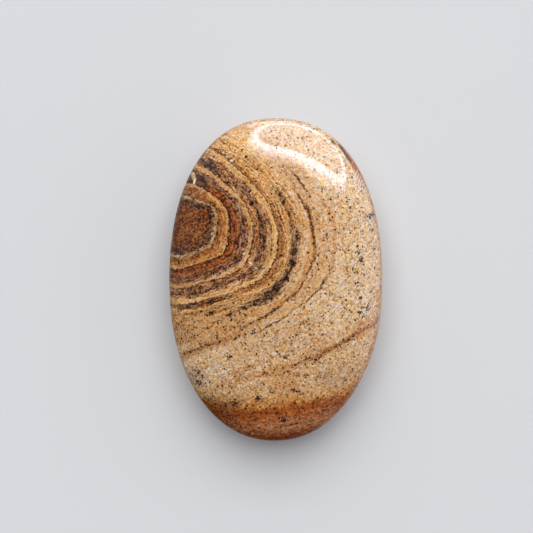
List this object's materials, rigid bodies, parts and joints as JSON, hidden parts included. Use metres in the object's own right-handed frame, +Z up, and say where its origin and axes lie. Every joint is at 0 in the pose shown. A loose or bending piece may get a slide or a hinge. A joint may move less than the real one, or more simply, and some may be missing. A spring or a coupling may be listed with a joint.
{
  "type": "palm stone",
  "caption": "Oval pillow-shaped palm stone of polished picture jasper, sandy tan with folded brown and black bands, that lies on a small flat spot.",
  "frame": {"origin": "middle of the flat spot that the stone rests on, at the bottom centre of its bounding box", "axes": "+Z up out of the face, +Y along the long axis from the foot to the crown, which is the fuller end, +X across to the right flank seen from above"},
  "size_m": [0.0462, 0.07, 0.02],
  "materials": {
    "polished_jasper": "high polish, slightly softened by grain"
  },
  "bodies": {
    "root": {"palm_stone": "polished_jasper"}
  },
  "joints": []
}
